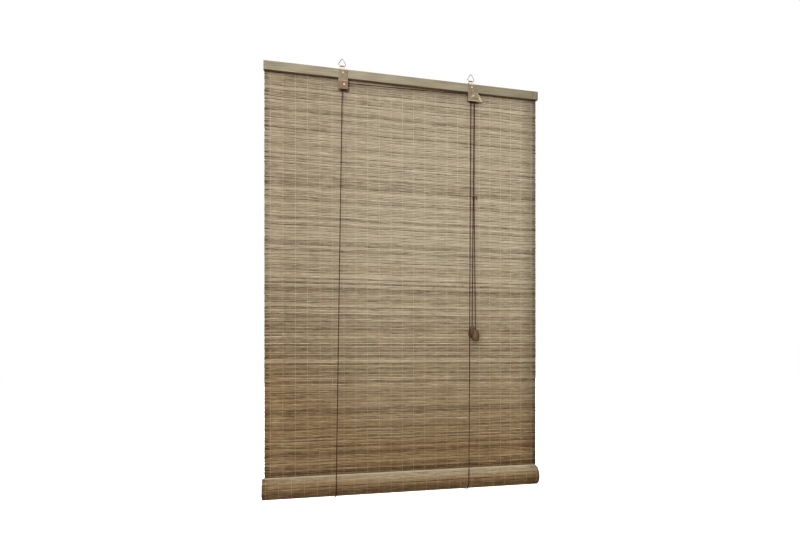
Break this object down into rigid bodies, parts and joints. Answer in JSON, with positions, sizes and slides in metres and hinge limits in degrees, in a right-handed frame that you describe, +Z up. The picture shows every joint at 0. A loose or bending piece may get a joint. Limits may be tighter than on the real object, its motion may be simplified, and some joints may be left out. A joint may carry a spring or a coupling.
{
  "type": "bamboo roll up blind",
  "caption": "Split bamboo blind on a wooden head rail, hung from two rings and rolled up from below by cords through a pulley and a cord lock.",
  "frame": {"origin": "midway between the seats of the two hanging rings, where the two hooks carry the blind", "axes": "+Z up, +X along the head rail to the right as seen from the room, +Y towards the wall, so the front faces -Y"},
  "size_m": [0.803, 0.0714, 1.2108],
  "materials": {
    "rail_wood": "planed, thin clear lacquer, greenish grey tan",
    "splint_mat": "split bamboo, unvarnished, woven with pale thread",
    "batten_wood": "planed, raw",
    "bracket_steel": "antique bronze lacquer on pressed steel",
    "ring_wire": "zinc plated wire",
    "nail_steel": "zinc plated, domed heads",
    "wheel_brass": "turned",
    "staple_steel": "bright wire",
    "acorn_wood": "turned and waxed, olive brown",
    "cord": "braided polyester, dark reddish brown"
  },
  "bodies": {
    "root": {"head_rail": "rail_wood", "hanging_mat": "splint_mat", "bracket_left": "bracket_steel", "lock_bracket_right": "bracket_steel", "bracket_nails": "nail_steel", "axle_left": "nail_steel", "axle_right": "nail_steel", "top_staples": "staple_steel", "left_lift_cord_front": "cord", "left_lift_cord_back": "cord", "right_lift_cord_front": "cord", "right_lift_cord_back": "cord", "cross_cord": "cord", "right_wheel_cord": "cord", "left_pull_cord_top": "cord", "right_pull_cord_top": "cord", "anchor_knots": "cord"},
    "cord_slings": {"left_cord_sling": "cord", "right_cord_sling": "cord"},
    "roll": {"mat_roll": "splint_mat", "bottom_batten": "batten_wood", "batten_staples": "staple_steel"},
    "pulls": {"left_pull_cord_tail": "cord", "right_pull_cord_tail": "cord", "cord_knot": "cord", "acorn_left": "acorn_wood", "acorn_right": "acorn_wood", "acorn_knots": "cord"},
    "wheel_left": {"wheel_left": "wheel_brass"},
    "wheel_right": {"wheel_right": "wheel_brass"},
    "lock_roller": {"lock_roller": "wheel_brass"},
    "ring_left": {"ring_left": "ring_wire"},
    "ring_right": {"ring_right": "ring_wire"}
  },
  "joints": [
    {"name": "roll_lift", "type": "slide", "parent": "root", "child": "cord_slings", "axis": [0, 0, 1], "range_m": [0, 1.05], "deforming": ["hanging_mat", "left_lift_cord_front", "left_lift_cord_back", "right_lift_cord_front", "right_lift_cord_back"]},
    {"name": "roll_turn", "type": "hinge", "parent": "cord_slings", "child": "roll", "pos_m": [0, -0.0229, -1.1761], "axis": [1, 0, 0], "continuous": true},
    {"name": "cord_pull", "type": "slide", "parent": "root", "child": "pulls", "axis": [0, -0.3, -0.9539], "range_m": [0, 2.1], "deforming": ["left_pull_cord_top", "right_pull_cord_top"]},
    {"name": "left_wheel_turn", "type": "hinge", "parent": "root", "child": "wheel_left", "pos_m": [-0.1835, 0, -0.071], "axis": [0, 1, 0], "continuous": true},
    {"name": "right_wheel_turn", "type": "hinge", "parent": "root", "child": "wheel_right", "pos_m": [0.194, 0, -0.0633], "axis": [0, 1, 0], "continuous": true},
    {"name": "lock_release", "type": "slide", "parent": "root", "child": "lock_roller", "axis": [0.5, 0, -0.866], "range_m": [0, 0.003]},
    {"name": "left_ring_swing", "type": "hinge", "parent": "root", "child": "ring_left", "pos_m": [-0.1885, 0, -0.019], "axis": [1, 0, 0], "range_deg": [-88, 88]},
    {"name": "right_ring_swing", "type": "hinge", "parent": "root", "child": "ring_right", "pos_m": [0.1885, 0, -0.019], "axis": [1, 0, 0], "range_deg": [-88, 88]}
  ],
  "couplings": [
    {"joint": "roll_turn", "follows": "roll_lift", "rad_per_m": -33.44},
    {"joint": "cord_pull", "follows": "roll_lift", "ratio": 2},
    {"joint": "left_wheel_turn", "follows": "roll_lift", "rad_per_m": 400},
    {"joint": "right_wheel_turn", "follows": "roll_lift", "rad_per_m": 400}
  ]
}
